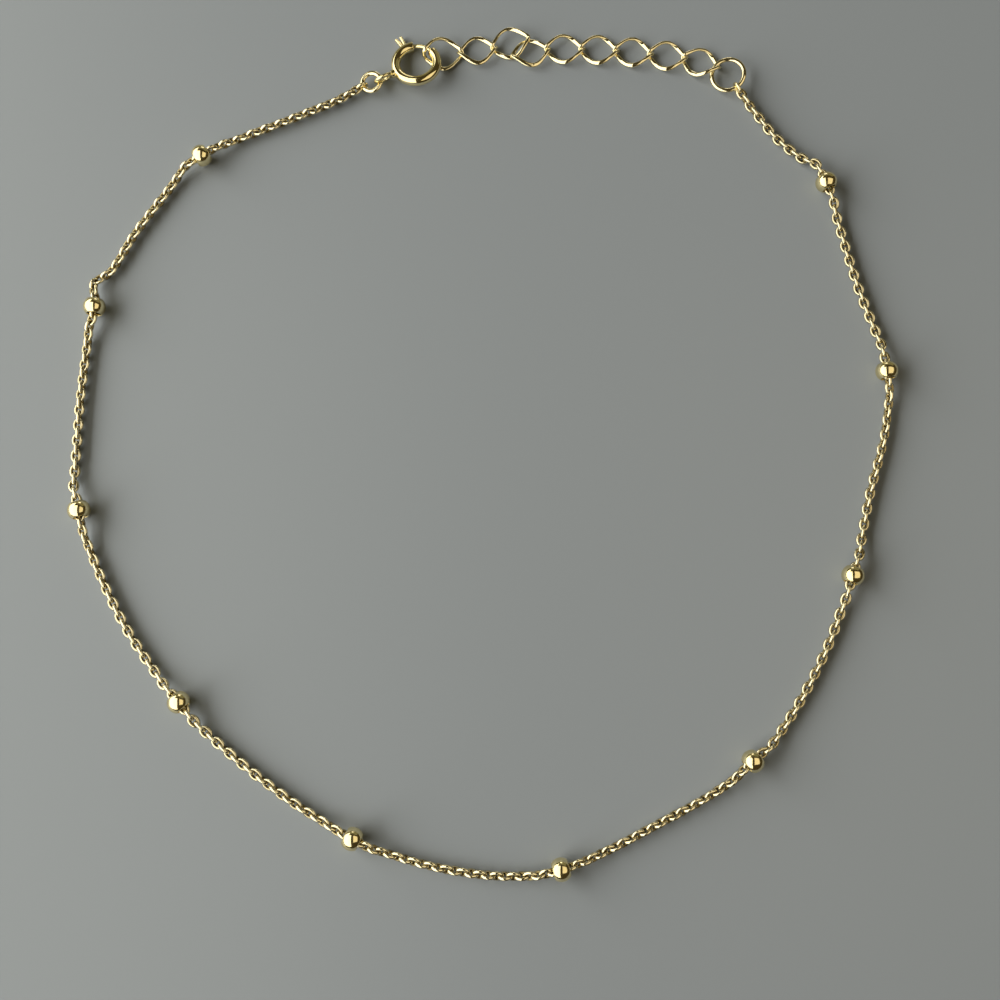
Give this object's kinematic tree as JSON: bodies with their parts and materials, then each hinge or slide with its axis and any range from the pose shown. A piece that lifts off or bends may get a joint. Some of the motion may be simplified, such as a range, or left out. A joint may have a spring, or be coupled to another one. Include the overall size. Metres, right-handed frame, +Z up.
{
  "type": "chain anklet",
  "caption": "Fine cable chain anklet in a closed loop, threaded through small drilled beads, with a rhombic link extender hooked into a spring ring clasp.",
  "frame": {"origin": "on the surface that the anklet lies on, under the middle of its loop", "axes": "+Z up from the surface, +Y from the middle of the loop towards the extender, +X from the clasp towards the extender's ring"},
  "size_m": [0.0784, 0.0826, 0.0021],
  "materials": {
    "gold": "polished pale yellow gold"
  },
  "bodies": {
    "anklet": {"fine_chain": "gold", "bead_01": "gold", "bead_02": "gold", "bead_03": "gold", "bead_04": "gold", "bead_05": "gold", "bead_06": "gold", "bead_07": "gold", "bead_08": "gold", "bead_09": "gold", "bead_10": "gold", "end_link_clasp": "gold", "end_link_extender": "gold", "clasp_jump_ring": "gold", "extender_ring": "gold", "extender_link_1": "gold", "extender_link_2": "gold", "extender_link_3": "gold", "extender_link_4": "gold", "extender_link_5": "gold", "extender_link_6": "gold", "extender_link_7": "gold", "extender_link_8": "gold", "extender_link_9": "gold", "clasp_ring": "gold"},
    "bolt": {"clasp_bolt": "gold"}
  },
  "joints": [
    {"name": "bolt_slide", "type": "hinge", "parent": "anklet", "child": "bolt", "pos_m": [-0.0071, 0.03732, 0.00082], "axis": [-0.0436, 0.139, 0.9893], "range_deg": [0, 52], "stiffness_Nm_per_rad": 0.001, "springref_deg": -11.46}
  ]
}
